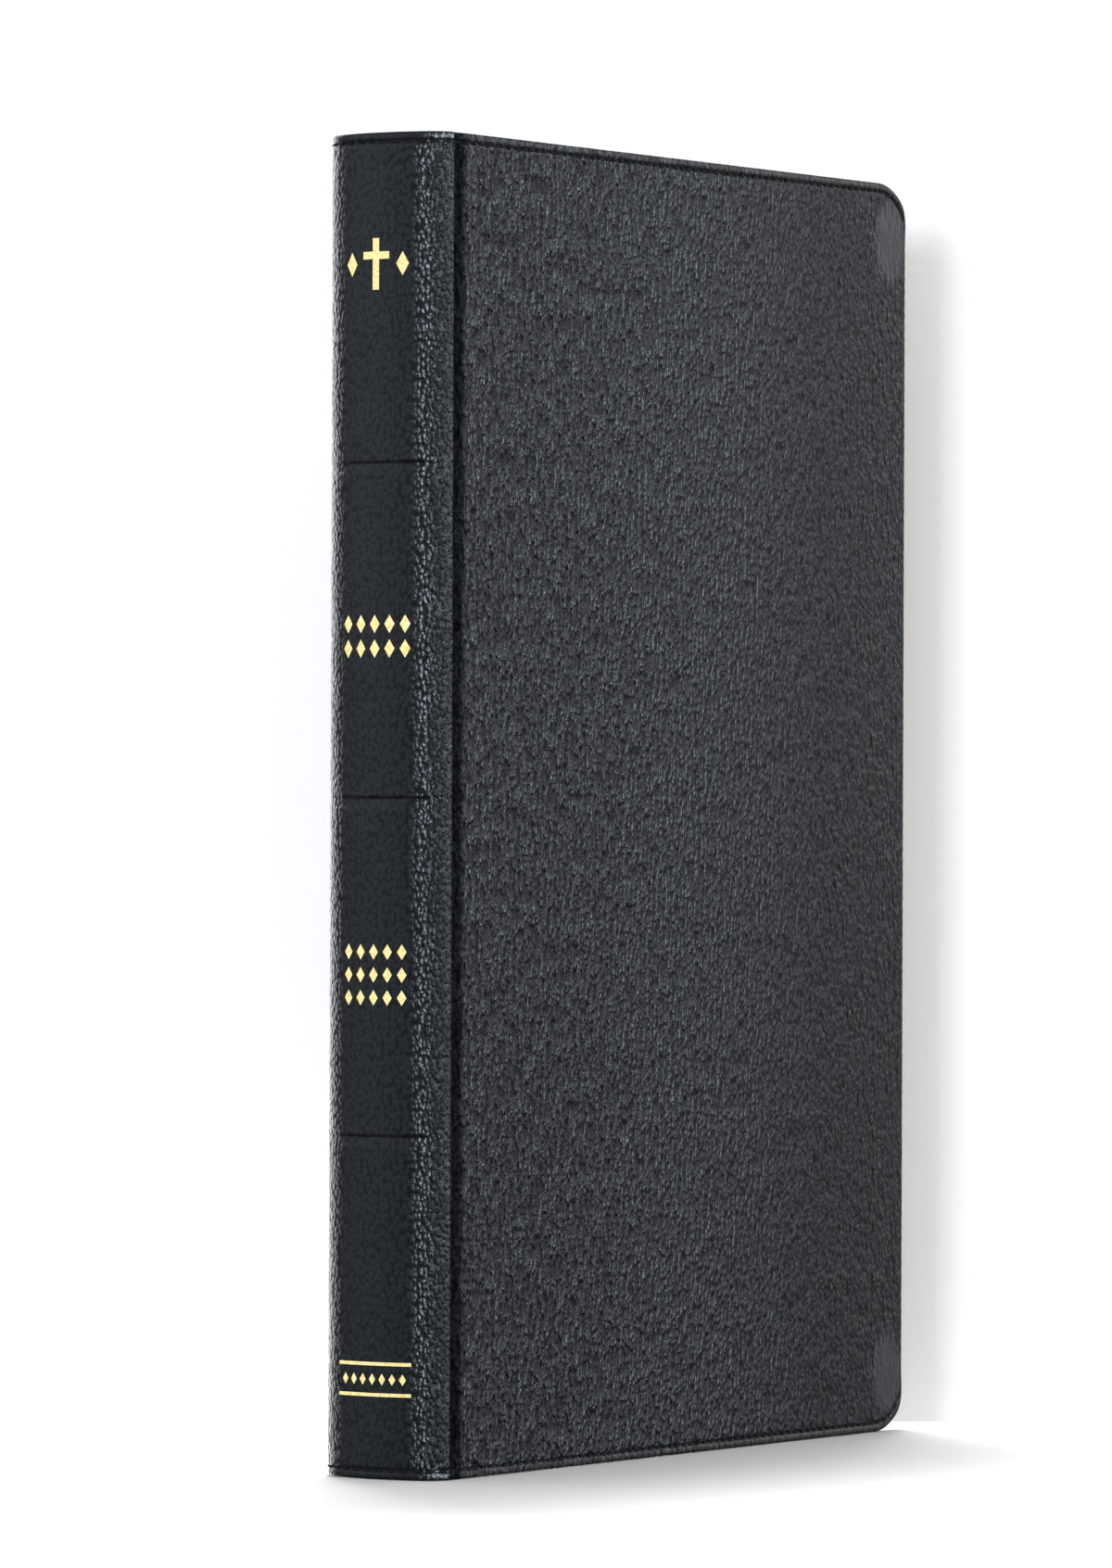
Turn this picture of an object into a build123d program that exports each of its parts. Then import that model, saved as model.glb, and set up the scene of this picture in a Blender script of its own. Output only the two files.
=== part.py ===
from build123d import *
import math
import os

os.makedirs("parts", exist_ok=True)

# A bible in a limp leather case, standing on its tail. Millimetres.
# +Z runs from tail to head, the spine is on -Y, the front cover on +X.
# The origin is under the middle of the closed book, on the surface it stands on.

# The closed book
height = 235.0
depth = 160.0
thickness = 25.4

# The leather case
leather = 0.9
liner_board = 0.5
lining_paper = 0.3
corner_radius = 10.0
edge_round = 0.6
turn_in = 12.0
lining_margin = 3.0

# The hinge line, where the cover's flat side meets the round of the spine
spine_bulge = 5.4
shoulder = 4.2
crown_rise = 1.3
hinge_clearance = 0.3

# The layers between the spine's leather and the backs of the sections
spine_inlay = 0.4
kraft_lining = 0.2
mull = 0.2
tape = 0.2
layer_clearance = 0.05

# The text block
head_square = 3.0
fore_edge_square = 4.0
page_corner_radius = 8.0
flyleaf = 0.2
leaf_clearance = 0.05
bodies_of_pages = 4
sections_per_body = 4
tape_count = 5
tape_width = 12.0
tape_margin = 28.0
headband = 1.6
headband_depth = 1.5
headband_margin = 0.4

# The stitched hem
hem = 1.7
thread = 0.5
groove_depth = 0.35
thread_sink = 0.05

# Blind bands and gilt tooling on the spine
band_heights = (59.0, 118.0, 176.5)
band = 1.5
band_depth = 0.3
band_reach = 9.0
foil = 0.1
foil_sink = 0.05
foil_edge = 7.6
cross_height = 212.0
cross_tall = 9.0
cross_wide = 5.4
cross_arm = 1.3
cross_spread = 10.6
upper_rows = (149.2, 144.9)
lower_rows = (92.0, 88.0, 84.0)
rule_heights = (14.8, 20.2)
rule = 0.6

# Worked out from the sizes above
half = thickness / 2
crown_half = half - shoulder
crown_radius = (crown_half**2 + crown_rise**2) / (2 * crown_rise)
apex_y = -depth / 2
hinge_y = apex_y + spine_bulge
root_y = hinge_y + hinge_clearance
cover = leather + liner_board + lining_paper
block_half = half - cover - flyleaf - 2 * leaf_clearance
inlay_inset = leather
kraft_inset = inlay_inset + spine_inlay + layer_clearance
mull_inset = kraft_inset + kraft_lining
tape_inset = mull_inset + mull
fold_inset = tape_inset + tape + layer_clearance
pages_bottom = head_square
pages_top = height - head_square
pages_fore_edge = depth / 2 - fore_edge_square
sections = bodies_of_pages * sections_per_body
section = 2 * block_half / sections


def spine_plan(inset):
    """The rounded plan of the spine up to the hinge lines, moved in by inset all round."""
    straight = hinge_y + shoulder
    with BuildSketch(mode=Mode.PRIVATE) as plan:
        with BuildLine():
            crown = ThreePointArc(
                (-crown_half, apex_y + crown_rise),
                (0, apex_y),
                (crown_half, apex_y + crown_rise),
            )
            right = TangentArc(crown @ 1, (half, hinge_y), tangent=crown % 1)
            left = TangentArc(crown @ 0, (-half, hinge_y), tangent=(crown % 0) * -1)
            Polyline(right @ 1, (half, straight), (-half, straight), left @ 1)
        make_face()
        if inset > 0:
            offset(amount=-inset, kind=Kind.INTERSECTION)
        with Locations((0, hinge_y)):
            Rectangle(
                2 * thickness, depth, align=(Align.CENTER, Align.MIN), mode=Mode.SUBTRACT
            )
    return plan.sketch


def spine_wall(outer, inner, bottom, top):
    """A curved wall of the spine between two insets and two heights."""
    with BuildPart(mode=Mode.PRIVATE) as wall:
        with BuildSketch(Plane.XY.offset(bottom)):
            add(spine_plan(outer))
            add(spine_plan(inner), mode=Mode.SUBTRACT)
        extrude(amount=top - bottom)
    return wall.part


def cover_plan(rim):
    """The cover's outline, set in by rim at head, tail and fore-edge, in (Y, Z)."""
    with BuildSketch(mode=Mode.PRIVATE) as plan:
        with Locations((root_y, rim)):
            Rectangle(
                depth / 2 - rim - root_y,
                height - 2 * rim,
                align=(Align.MIN, Align.MIN),
            )
        if rim < corner_radius:
            fillet(plan.vertices().group_by(Axis.X)[-1], radius=corner_radius - rim)
    return plan.sketch


def cover_sheet(outline, inner, outer, mirrored):
    """A flat sheet of the cover between two distances from the book's middle."""
    with BuildPart(mode=Mode.PRIVATE) as sheet:
        with BuildSketch(Plane.YZ.offset(inner)):
            add(outline)
        extrude(amount=outer - inner)
        if mirrored:
            mirror(about=Plane.YZ, mode=Mode.REPLACE)
    return sheet.part


def save(part, name):
    """Label a finished piece and write it to its own file."""
    part.label = name
    export_step(part, f"parts/{name}.step")


def lozenge_row(count, pitch, wide, tall, at):
    """Pointed tooling marks side by side in one line across the spine."""
    with BuildSketch(mode=Mode.PRIVATE) as row:
        with Locations((0, at)):
            with GridLocations(pitch, 1, count, 1):
                Polygon((-wide / 2, 0), (0, -tall / 2), (wide / 2, 0), (0, tall / 2))
    return row.sketch


# Gilt tooling, seen from outside the spine: a cross between two lozenges near the
# head, rows of lozenges in the two panels below, and two rules round a row at the foot.
side_lozenges = lozenge_row(2, cross_spread, 2.4, 4.2, cross_height)
with BuildSketch(mode=Mode.PRIVATE) as cross_marks:
    with Locations((0, cross_height)):
        Rectangle(cross_arm, cross_tall)
    with Locations((0, cross_height + cross_tall / 6)):
        Rectangle(cross_wide, cross_arm)
    add(side_lozenges)

upper_lozenges = [lozenge_row(5, 3.0, 2.0, 3.2, at) for at in upper_rows]
with BuildSketch(mode=Mode.PRIVATE) as upper_marks:
    add(upper_lozenges)

lower_lozenges = [lozenge_row(5, 2.8, 1.8, 2.7, at) for at in lower_rows]
with BuildSketch(mode=Mode.PRIVATE) as lower_marks:
    add(lower_lozenges)

foot_lozenges = lozenge_row(7, 2.0, 1.3, 2.0, sum(rule_heights) / 2)
with BuildSketch(mode=Mode.PRIVATE) as foot_marks:
    for rule_height in rule_heights:
        with Locations((0, rule_height)):
            Rectangle(2 * foil_edge, rule)
    add(foot_lozenges)

marks = {
    "gilt_cross": cross_marks.sketch,
    "gilt_upper_rows": upper_marks.sketch,
    "gilt_lower_rows": lower_marks.sketch,
    "gilt_foot_rules": foot_marks.sketch,
}


def foil_part(sketch, outer, inner):
    """The marks pressed into the spine, between two insets."""
    foil_wall = spine_wall(outer, inner, 0, height)
    with BuildPart(mode=Mode.PRIVATE) as pressed:
        with BuildSketch(Plane.XZ.offset(-apex_y + 1)):
            add(sketch)
        extrude(amount=-(spine_bulge + 1))
        add(foil_wall, mode=Mode.INTERSECT)
    return pressed.part


# The spine's leather: one curved skin, turned in over itself at head and tail
skin = spine_wall(0, leather, 0, height)
head_turn_in = spine_wall(leather, leather + spine_inlay, height - turn_in, height)
tail_turn_in = spine_wall(leather, leather + spine_inlay, 0, turn_in)
hem_grooves = [
    spine_wall(0, groove_depth, hem - thread / 2, hem + thread / 2),
    spine_wall(0, groove_depth, height - hem - thread / 2, height - hem + thread / 2),
]
band_walls = [
    spine_wall(0, band_depth, at - band / 2, at + band / 2) for at in band_heights
]
foil_beds = [foil_part(sketch, 0, foil_sink + foil) for sketch in marks.values()]

with BuildPart() as band_cutter:
    for wall in band_walls:
        add(wall)
    with BuildSketch(Plane.XY):
        with Locations((0, apex_y)):
            Rectangle(2 * band_reach, 2 * depth)
    extrude(amount=height, mode=Mode.INTERSECT)

with BuildPart() as spine_leather:
    add(skin)
    add(head_turn_in)
    add(tail_turn_in)
    for groove in hem_grooves:
        add(groove, mode=Mode.SUBTRACT)
    add(band_cutter.part, mode=Mode.SUBTRACT)
    for bed in foil_beds:
        add(bed, mode=Mode.SUBTRACT)
save(spine_leather.part, "spine_leather")

for name, sketch in marks.items():
    with BuildPart() as gilt:
        add(foil_part(sketch, foil_sink, foil_sink + foil))
    save(gilt.part, name)

# Black thread sunk in the hem's groove across the spine
with BuildPart() as spine_head_thread:
    add(spine_wall(thread_sink, groove_depth, height - hem - thread / 2, height - hem + thread / 2))
save(spine_head_thread.part, "spine_head_thread")

with BuildPart() as spine_tail_thread:
    add(spine_wall(thread_sink, groove_depth, hem - thread / 2, hem + thread / 2))
save(spine_tail_thread.part, "spine_tail_thread")

# The layers inside the spine, from the leather inwards
with BuildPart() as spine_inlay_part:
    add(spine_wall(inlay_inset, inlay_inset + spine_inlay, turn_in, height - turn_in))
save(spine_inlay_part.part, "spine_inlay")

with BuildPart() as spine_kraft_lining:
    add(spine_wall(kraft_inset, mull_inset, pages_bottom, pages_top))
save(spine_kraft_lining.part, "spine_kraft_lining")

with BuildPart() as spine_mull:
    add(spine_wall(mull_inset, tape_inset, pages_bottom, pages_top))
save(spine_mull.part, "spine_mull")

tape_pitch = (pages_top - pages_bottom - 2 * tape_margin) / (tape_count - 1)
with BuildPart() as sewing_tapes:
    for index in range(tape_count):
        tape_bottom = pages_bottom + tape_margin + index * tape_pitch - tape_width / 2
        add(spine_wall(tape_inset, tape_inset + tape, tape_bottom, tape_bottom + tape_width))
save(sewing_tapes.part, "sewing_tapes")

# The folded backs of the sections, sewn and rounded, which stay with the spine
fold_slit = 0.06
with BuildPart() as section_folds:
    with BuildSketch(Plane.XY.offset(pages_bottom)):
        add(spine_plan(fold_inset))
        with Locations((0, apex_y)):
            with GridLocations(section, 1, sections - 1, 1):
                Rectangle(fold_slit, depth, mode=Mode.SUBTRACT)
    extrude(amount=pages_top - pages_bottom)
save(section_folds.part, "section_folds")

# Woven bands at the head and tail of the folds
band_outer = tape_inset
band_inner = tape_inset + headband_depth
band_half = crown_half * (crown_radius - band_inner) / crown_radius - headband_margin


def woven_band(bottom):
    """A band across the crown of the spine, from one shoulder to the other."""
    wall = spine_wall(band_outer, band_inner, bottom, bottom + headband)
    with BuildPart(mode=Mode.PRIVATE) as woven:
        add(wall)
        with BuildSketch(Plane.XY.offset(bottom)):
            with Locations((0, apex_y)):
                Rectangle(2 * band_half, 2 * spine_bulge)
        extrude(amount=headband, mode=Mode.INTERSECT)
    return woven.part


with BuildPart() as head_band:
    add(woven_band(pages_top))
    fillet(head_band.edges().group_by(Axis.Z)[-1], radius=headband / 4)
save(head_band.part, "head_band")

with BuildPart() as tail_band:
    add(woven_band(pages_bottom - headband))
    fillet(tail_band.edges().group_by(Axis.Z)[0], radius=headband / 4)
save(tail_band.part, "tail_band")

# The two covers: leather folded over a thin liner, an endpaper pasted over the fold,
# and a line of thread along the hem
board_root = root_y + 5.0
pocket_floor = half - leather
lining_floor = half - cover + lining_paper

outline = cover_plan(0)
lining_outline = cover_plan(lining_margin)
with BuildSketch(mode=Mode.PRIVATE) as liner_plan:
    with Locations((board_root, turn_in)):
        Rectangle(
            depth / 2 - turn_in - board_root, height - 2 * turn_in, align=(Align.MIN, Align.MIN)
        )
with BuildSketch(mode=Mode.PRIVATE) as hem_plan:
    add(cover_plan(hem - thread / 2))
    add(cover_plan(hem + thread / 2), mode=Mode.SUBTRACT)

for side in ("front", "back"):
    mirrored = side == "back"
    face = -1 if mirrored else 1
    blank = cover_sheet(outline, half - cover, half, mirrored)
    lining_sheet = cover_sheet(lining_outline, half - cover, lining_floor, mirrored)
    liner_sheet = cover_sheet(liner_plan.sketch, lining_floor, pocket_floor, mirrored)
    groove = cover_sheet(hem_plan.sketch, half - groove_depth, half, mirrored)
    stitches = cover_sheet(hem_plan.sketch, half - groove_depth, half - thread_sink, mirrored)

    with BuildPart() as cover_leather:
        add(blank)
        outer_edges = cover_leather.edges().filter_by_position(
            Axis.X, half * face - 0.01, half * face + 0.01
        )
        fillet(
            outer_edges.filter_by_position(Axis.Y, root_y + 0.01, depth, (False, True)),
            radius=edge_round,
        )
        add(lining_sheet, mode=Mode.SUBTRACT)
        add(liner_sheet, mode=Mode.SUBTRACT)
        add(groove, mode=Mode.SUBTRACT)
    save(cover_leather.part, f"{side}_cover_leather")

    with BuildPart() as cover_liner:
        add(liner_sheet)
    save(cover_liner.part, f"{side}_cover_liner")

    with BuildPart() as cover_lining:
        add(lining_sheet)
    save(cover_lining.part, f"{side}_cover_lining")

    with BuildPart() as cover_thread:
        add(stitches)
    save(cover_thread.part, f"{side}_cover_thread")


def leaf_plan(fore_edge):
    """A page's outline in (Y, Z), its two fore-edge corners rounded."""
    with BuildSketch(mode=Mode.PRIVATE) as plan:
        with Locations((root_y, pages_bottom)):
            Rectangle(
                fore_edge - root_y, pages_top - pages_bottom, align=(Align.MIN, Align.MIN)
            )
        fillet(plan.vertices().group_by(Axis.X)[-1], radius=page_corner_radius)
    return plan.sketch


# The free endpaper beside each cover
for side, face in (("front", 1), ("back", -1)):
    leaf_sheet = cover_sheet(
        leaf_plan(pages_fore_edge), block_half + leaf_clearance,
        block_half + leaf_clearance + flyleaf, face < 0,
    )
    with BuildPart() as free_endpaper:
        add(leaf_sheet)
    save(free_endpaper.part, f"{side}_flyleaf")

# The sections of pages, counted from the front cover. The fore-edge follows the
# spine's crown, so the middle ones stand back.
for index in range(sections):
    first_face = block_half - index * section
    last_face = first_face - section
    if index % sections_per_body == 0:
        first_face -= leaf_clearance
    if index % sections_per_body == sections_per_body - 1:
        last_face += leaf_clearance
    middle = (first_face + last_face) / 2
    set_back = crown_rise * math.cos(math.pi / 2 * middle / block_half)
    with BuildPart() as page_section:
        with BuildSketch(Plane.YZ.offset(last_face)):
            add(leaf_plan(pages_fore_edge - set_back))
        extrude(amount=first_face - last_face)
    save(page_section.part, f"page_section_{index + 1:02d}")
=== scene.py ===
import math
import bmesh
import bpy
from mathutils import Matrix, Vector


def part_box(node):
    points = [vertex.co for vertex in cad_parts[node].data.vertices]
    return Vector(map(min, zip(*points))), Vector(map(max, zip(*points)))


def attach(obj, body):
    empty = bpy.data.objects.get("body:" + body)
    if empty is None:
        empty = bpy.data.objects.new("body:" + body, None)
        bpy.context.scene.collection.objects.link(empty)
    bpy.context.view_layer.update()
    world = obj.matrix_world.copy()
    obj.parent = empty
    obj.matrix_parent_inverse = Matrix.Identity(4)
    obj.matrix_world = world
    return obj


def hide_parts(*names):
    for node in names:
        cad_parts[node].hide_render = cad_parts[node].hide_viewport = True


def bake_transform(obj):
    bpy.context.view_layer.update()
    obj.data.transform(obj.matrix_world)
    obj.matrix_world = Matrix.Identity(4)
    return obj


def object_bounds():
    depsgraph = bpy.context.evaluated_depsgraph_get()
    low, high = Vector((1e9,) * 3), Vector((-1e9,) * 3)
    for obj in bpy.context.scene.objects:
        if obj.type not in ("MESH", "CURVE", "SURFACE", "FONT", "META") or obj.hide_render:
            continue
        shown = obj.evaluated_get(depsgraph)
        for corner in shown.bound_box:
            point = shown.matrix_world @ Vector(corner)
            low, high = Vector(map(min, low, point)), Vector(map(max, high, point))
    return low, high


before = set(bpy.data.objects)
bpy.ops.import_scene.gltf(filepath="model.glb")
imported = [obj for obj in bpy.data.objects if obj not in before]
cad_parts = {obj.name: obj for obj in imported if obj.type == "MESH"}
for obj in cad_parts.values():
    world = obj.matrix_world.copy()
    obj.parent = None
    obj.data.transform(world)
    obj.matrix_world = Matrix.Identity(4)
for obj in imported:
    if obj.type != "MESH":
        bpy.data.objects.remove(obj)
cad_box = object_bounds()

# ---------------------------------------------------------------------------
# The place: the book stands on a white floor just in front of a white card, square
# to the camera. A lamp above and behind lights the floor, and one along the covers
# throws the book's shadow on the card.
# ---------------------------------------------------------------------------
mm = 0.001
low, high = Vector(cad_box[0]), Vector(cad_box[1])
scene = bpy.context.scene
scene.view_settings.view_transform = "Standard"

camera_place = (0.8535, -1.3468, high.z / 2)
camera_turn = math.radians(32.78)
camera_tilt = math.radians(0.146)
camera_roll = math.radians(0.2)
camera = bpy.data.objects.new("camera", bpy.data.cameras.new("camera"))
camera.data.sensor_fit = "VERTICAL"
camera.data.sensor_height = 36
camera.data.lens = 201.06
camera.data.clip_start = 0.05
camera.data.clip_end = 30
camera.matrix_world = (
    Matrix.Translation(camera_place)
    @ Matrix.Rotation(camera_turn, 4, "Z")
    @ Matrix.Rotation(math.pi / 2 + camera_tilt, 4, "X")
    @ Matrix.Rotation(camera_roll, 4, "Z")
)
scene.collection.objects.link(camera)
scene.camera = camera


def compass(azimuth, elevation):
    """The direction of a place round the book: azimuth 0 is -Y, 90 is +X."""
    a, e = math.radians(azimuth), math.radians(elevation)
    return Vector((math.sin(a) * math.cos(e), -math.cos(a) * math.cos(e), math.sin(e)))


def soft_box(name, azimuth, elevation, away, wide, tall, watts):
    """A rectangular lamp that faces the middle of the book and stays out of its sheen."""
    lamp = bpy.data.lights.new(name, "AREA")
    lamp.shape = "RECTANGLE"
    lamp.size = wide
    lamp.size_y = tall
    lamp.energy = watts
    held = bpy.data.objects.new(name, lamp)
    aim = compass(azimuth, elevation)
    place = Vector((0, 0, high.z / 2)) + aim * away
    faced = aim.to_track_quat("Z", "Y").to_matrix().to_4x4()
    held.matrix_world = Matrix.Translation(place) @ faced
    held.visible_glossy = False
    scene.collection.objects.link(held)


soft_box("floor_light", 217, 71, away=1.6, wide=0.45, tall=0.45, watts=38)
soft_box("shadow_light", 5, 13, away=2.0, wide=0.72, tall=0.5, watts=22)


def socket_maths(tree, operation, a, b=None, c=None):
    """A Math node on numbers or on other nodes' outputs, and its output."""
    node = tree.nodes.new("ShaderNodeMath")
    node.operation = operation
    for index, value in enumerate((a, b, c)):
        if isinstance(value, (int, float)):
            node.inputs[index].default_value = value
        elif value is not None:
            tree.links.new(value, node.inputs[index])
    return node.outputs[0]


def ranged(tree, value, from_min, from_max, to_min, to_max):
    """A smooth Map Range on a value, and its output."""
    node = tree.nodes.new("ShaderNodeMapRange")
    node.interpolation_type = "SMOOTHSTEP"
    tree.links.new(value, node.inputs["Value"])
    limits = {"From Min": from_min, "From Max": from_max, "To Min": to_min, "To Max": to_max}
    for name, number in limits.items():
        node.inputs[name].default_value = number
    return node.outputs["Result"]


# The room is white to look at and a little softer as a light. A sheen sees it dark,
# with tall bright screens in it: two that the spine's right shoulder mirrors, one for
# each cover and a weak one for the spine's left rim
world = bpy.data.worlds.new("white_room")
scene.world = world
world.use_nodes = True
room = world.node_tree
room_light = room.nodes["Background"]
room_light.inputs["Color"].default_value = (1.0, 1.0, 1.0, 1)
ray = room.nodes.new("ShaderNodeLightPath")
heading = room.nodes.new("ShaderNodeTexCoord")
toward = room.nodes.new("ShaderNodeSeparateXYZ")
room.links.new(heading.outputs["Generated"], toward.inputs["Vector"])
backwards = socket_maths(room, "MULTIPLY", toward.outputs["Y"], -1.0)
round_about = socket_maths(room, "ARCTAN2", toward.outputs["X"], backwards)
screen_middle = 0.08
screen_fade = 0.35
seen_light, thrown_light = 1.1, 0.9


def screen(azimuth, reach, edge, tallness, strength, below=1.0):
    """A screen's brightness: full within reach of its azimuth, soft over the edge, less below."""
    off = socket_maths(room, "SUBTRACT", round_about, math.radians(azimuth))
    off = socket_maths(room, "ABSOLUTE", socket_maths(room, "WRAP", off, math.pi, -math.pi))
    lit_by = ranged(room, off, math.radians(reach), math.radians(reach + edge), strength, 0.0)
    lean = ranged(room, toward.outputs["Z"], -0.25, 0.25, below, 2 - below)
    lit_by = socket_maths(room, "MULTIPLY", lit_by, lean)
    above = socket_maths(room, "SUBTRACT", toward.outputs["Z"], screen_middle)
    above = socket_maths(room, "ABSOLUTE", above)
    ends = ranged(room, above, tallness, tallness + screen_fade, 1.0, 0.0)
    return socket_maths(room, "MULTIPLY", lit_by, ends)


sheen = ranged(room, toward.outputs["Z"], -0.3, 0.6, 0.08, 0.3)
for lit_screen in (
    screen(46, 11, 9, 0.14, 6.0),
    screen(80, 17, 10, 0.16, 14.0),
    screen(150, 12, 14, 0.3, 1.5, below=0.45),
    screen(-128, 16, 22, 0.3, 5.0),
    screen(-36, 18, 22, 0.3, 0.44, below=0.8),
):
    sheen = socket_maths(room, "ADD", sheen, lit_screen)
in_sheen = ray.outputs["Is Glossy Ray"]
elsewhere = socket_maths(room, "SUBTRACT", 1.0, in_sheen)
lit = ranged(room, ray.outputs["Is Camera Ray"], 0.0, 1.0, thrown_light, seen_light)
sheen = socket_maths(room, "MULTIPLY", sheen, in_sheen)
lit = socket_maths(room, "MULTIPLY", lit, elsewhere)
room.links.new(socket_maths(room, "ADD", sheen, lit), room_light.inputs["Strength"])


def finish_mesh(bm, name, materials=(), smooth=True):
    """Turn a bmesh into an object at the origin, with its materials."""
    mesh = bpy.data.meshes.new(name)
    for face in bm.faces:
        face.smooth = smooth
    bm.to_mesh(mesh)
    bm.free()
    piece = bpy.data.objects.new(name, mesh)
    for material in materials:
        mesh.materials.append(material)
    scene.collection.objects.link(piece)
    return piece


def new_material(name):
    """A material, with its node tree and its Principled shader."""
    material = bpy.data.materials.new(name)
    material.use_nodes = True
    tree = material.node_tree
    return material, tree, tree.nodes["Principled BSDF"]


def matt_white(name, colour):
    """A white paint with no sheen, its node tree and its shader."""
    material, tree, shader = new_material(name)
    shader.inputs["Base Color"].default_value = colour
    shader.inputs["Roughness"].default_value = 0.9
    shader.inputs["Specular IOR Level"].default_value = 0.0
    return material, tree, shader


floor_paint = matt_white("white_floor", (0.6, 0.6, 0.6, 1))[0]
floor_gap = 0.02 * mm
bm = bmesh.new()
bmesh.ops.create_grid(bm, x_segments=1, y_segments=1, size=6)
bmesh.ops.translate(bm, verts=bm.verts, vec=(0, 0, low.z - floor_gap))
floor = finish_mesh(bm, "floor", [floor_paint], smooth=False)
floor.visible_glossy = False

# The card only shows its front; from behind it is clear
card_paint, card_tree, card_shader = matt_white("white_card", (0.87, 0.885, 0.92, 1))
card_side = card_tree.nodes.new("ShaderNodeNewGeometry")
card_clear = card_tree.nodes.new("ShaderNodeBsdfTransparent")
card_mix = card_tree.nodes.new("ShaderNodeMixShader")
card_out = card_tree.nodes["Material Output"]
card_tree.links.new(card_side.outputs["Backfacing"], card_mix.inputs["Fac"])
card_tree.links.new(card_shader.outputs["BSDF"], card_mix.inputs[1])
card_tree.links.new(card_clear.outputs["BSDF"], card_mix.inputs[2])
card_tree.links.new(card_mix.outputs["Shader"], card_out.inputs["Surface"])
card_behind = 82 * mm
card_half = 0.6
card_foot = low.z - 0.1 * mm
card_turn = Matrix.Rotation(camera_turn, 3, "Z")
bm = bmesh.new()
bmesh.ops.create_grid(bm, x_segments=1, y_segments=1, size=card_half)
stood_up = Matrix.Rotation(math.pi / 2, 3, "X")
bmesh.ops.rotate(bm, verts=bm.verts, cent=(0, 0, 0), matrix=stood_up)
bmesh.ops.translate(bm, verts=bm.verts, vec=(0, card_behind, card_half + card_foot))
bmesh.ops.rotate(bm, verts=bm.verts, cent=(0, 0, 0), matrix=card_turn)
card = finish_mesh(bm, "card", [card_paint], smooth=False)
card.visible_glossy = False
card.visible_shadow = False

# ---------------------------------------------------------------------------
# The leather case. One blank of black goatskin covers back, spine and front. It is
# turned in over a thin liner all round, sewn down along the hem, and wrapped round
# the block, so it is shaped here as a flat blank and then wrapped.
# ---------------------------------------------------------------------------
half = high.x
apex_y = low.y
hinge_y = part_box("spine_leather")[1][1]
skin = 0.9 * mm
shoulder = 4.2 * mm
crown_rise = 1.3 * mm
crown_half = half - shoulder
crown_radius = (crown_half**2 + crown_rise**2) / (2 * crown_rise)
crown_turn = math.asin(crown_half / crown_radius)
crown_end = Vector((crown_half, apex_y + crown_rise))
inward = Vector((-math.sin(crown_turn), math.cos(crown_turn)))
to_hinge = crown_end - Vector((half, hinge_y))
shoulder_radius = -to_hinge.length_squared / (2 * inward.dot(to_hinge))
shoulder_centre = crown_end + inward * shoulder_radius
from_centre = Vector((half, hinge_y)) - shoulder_centre
shoulder_turn = math.atan2(from_centre.x, -from_centre.y) - crown_turn
crown_length = crown_radius * crown_turn
hinge_s = crown_length + shoulder_radius * shoulder_turn

# The fore-edge rolls inwards along an arc
roll_radius = 4.2 * mm
roll_start = high.y - 1.1 * mm
roll_turn = math.radians(57)
fore_s = hinge_s + (roll_start - hinge_y) + roll_radius * roll_turn
joint_step = 0.4 * mm
cover_bend = 4.0 * mm
cover_start = 2 * joint_step

# The pressed joint groove: (how far past the hinge, how deep), in millimetres. The
# inside of the leather sinks less, by this share at this depth
joint_groove = ((0.0, 0.0), (0.35, 0.45), (0.85, 0.98), (1.2, 0.98), (4.2, 0.1), (5.6, 0.0))
press_share = 0.85
press_depth = 1.4 * mm
cover_sag = 0.35 * mm


def along(points, at):
    """A smooth curve through a few (place, value) points."""
    for (a, va), (b, vb) in zip(points, points[1:]):
        if at <= b:
            t = max(0.0, (at - a) / (b - a))
            return va + (vb - va) * t * t * (3 - 2 * t)
    return points[-1][1]


def wrap(place):
    """Takes a point of the flat blank (along, up, out) to its place round the book."""
    s, z, out = place
    side = 1 if s >= 0 else -1
    run = abs(s)
    # Across the spine, what lies inside the skin is half as thick
    if out < -skin and run < hinge_s:
        out = -skin + (out + skin) / 2
    if run <= crown_length:
        turn = run / crown_radius
        at = Vector((0, apex_y + crown_radius))
        radius = crown_radius
    elif run <= hinge_s:
        turn = crown_turn + (run - crown_length) / shoulder_radius
        at = shoulder_centre
        radius = shoulder_radius
    else:
        past = run - hinge_s
        y = hinge_y + past
        if y <= roll_start:
            pressed = 1 + press_share * max(-1.0, out / press_depth)
            sunk = along(joint_groove, past / mm) * mm * pressed
            sag = cover_sag * math.sin(math.pi * z / high.z)
            sag *= math.sin(math.pi * past / (fore_s - hinge_s))
            return Vector((side * (half + out - sunk - sag), y, z))
        turn = math.pi / 2 + (y - roll_start) / roll_radius
        at = Vector((half - roll_radius, roll_start))
        radius = roll_radius
    flat = at + Vector((math.sin(turn), -math.cos(turn))) * (radius + out)
    return Vector((side * flat.x, flat.y, z))


def wrap_all(bm):
    """Wraps every point of a flat mesh round the book."""
    for vert in bm.verts:
        vert.co = wrap(vert.co)


def thicken(bm, step):
    """Grows a flat mesh into a sheet by a step."""
    grown = bmesh.ops.extrude_face_region(bm, geom=bm.faces[:], use_keep_orig=True)
    moved = [part for part in grown["geom"] if isinstance(part, bmesh.types.BMVert)]
    bmesh.ops.translate(bm, verts=moved, vec=step)


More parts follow.
